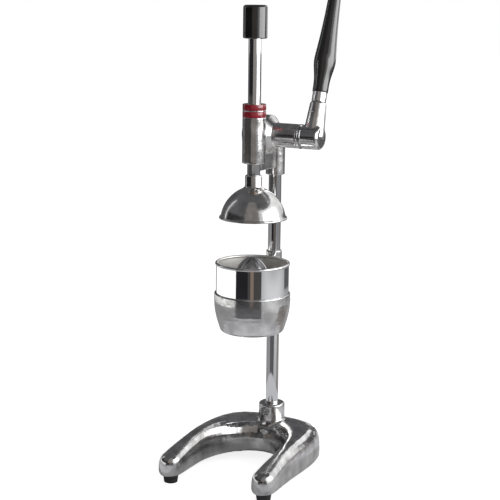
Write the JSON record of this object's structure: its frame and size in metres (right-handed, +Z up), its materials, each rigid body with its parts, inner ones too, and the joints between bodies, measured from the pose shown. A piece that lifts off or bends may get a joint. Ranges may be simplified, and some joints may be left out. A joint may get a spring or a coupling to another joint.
{
  "type": "lever citrus juice press",
  "caption": "Upright lever citrus press: horseshoe stand and column carry a ribbed cone in a juice cup; a side lever drives a rack and pinion that lowers a dome-shaped bell.",
  "frame": {"origin": "on the counter directly under the press axis, the common axis of bell, cone and cup", "axes": "+Z up along the press axis, -Y towards the user at the front, +X to the lever's side"},
  "size_m": [0.201, 0.2514, 0.7911],
  "materials": {
    "polished_aluminium": "hand-polished casting with a slightly wavy surface",
    "chrome": "bright chrome plate on ground steel bar",
    "cup_steel": "mirror-polished stainless sheet",
    "steel": "bright steel, fine machining marks",
    "foot_rubber": "matte black rubber",
    "black_plastic": "semi-gloss black moulded plastic",
    "red_ring": "glossy red moulded ring",
    "bronze": "sintered bronze"
  },
  "bodies": {
    "stand": {"base_casting": "polished_aluminium", "foot_front_left": "foot_rubber", "foot_front_right": "foot_rubber", "foot_rear_left": "foot_rubber", "foot_rear_right": "foot_rubber", "foot_screws": "steel", "base_set_screw": "steel", "column": "chrome", "column_washer": "steel", "column_bolt": "steel", "cup_holder": "polished_aluminium", "holder_clamp_bolt": "steel", "juice_cup": "cup_steel", "cup_outlet": "cup_steel", "strainer": "steel", "reamer_cone": "steel", "head_casting": "polished_aluminium", "head_set_screws": "steel", "gear_cover": "polished_aluminium", "cover_screws": "steel", "guide_bush_lower": "bronze", "guide_bush_upper": "bronze", "red_ring_lower": "red_ring", "red_ring_upper": "red_ring", "shaft_bush_left": "bronze", "shaft_bush_inner": "bronze", "shaft_bush_outer": "bronze"},
    "press": {"rack_rod": "chrome", "rack_cap": "black_plastic", "cap_set_screw": "steel", "press_bell": "polished_aluminium", "bell_set_screw": "steel"},
    "lever": {"pinion_gear": "steel", "pinion_shaft": "steel", "pinion_key": "steel", "thrust_washer": "chrome", "lever_hub": "polished_aluminium", "hub_key": "steel", "hub_set_screw": "steel", "lever_rod": "chrome", "rod_pin": "steel", "lever_ferrule": "chrome", "lever_grip": "black_plastic"}
  },
  "joints": [
    {"name": "lever_turn", "type": "hinge", "parent": "stand", "child": "lever", "pos_m": [0, 0.032, 0.5322], "axis": [1, 0, 0], "range_deg": [0, 197]},
    {"name": "rack_slide", "type": "slide", "parent": "stand", "child": "press", "axis": [0, 0, -1], "range_m": [0, 0.086]}
  ],
  "couplings": [
    {"joint": "rack_slide", "follows": "lever_turn", "m_per_rad": 0.025}
  ]
}
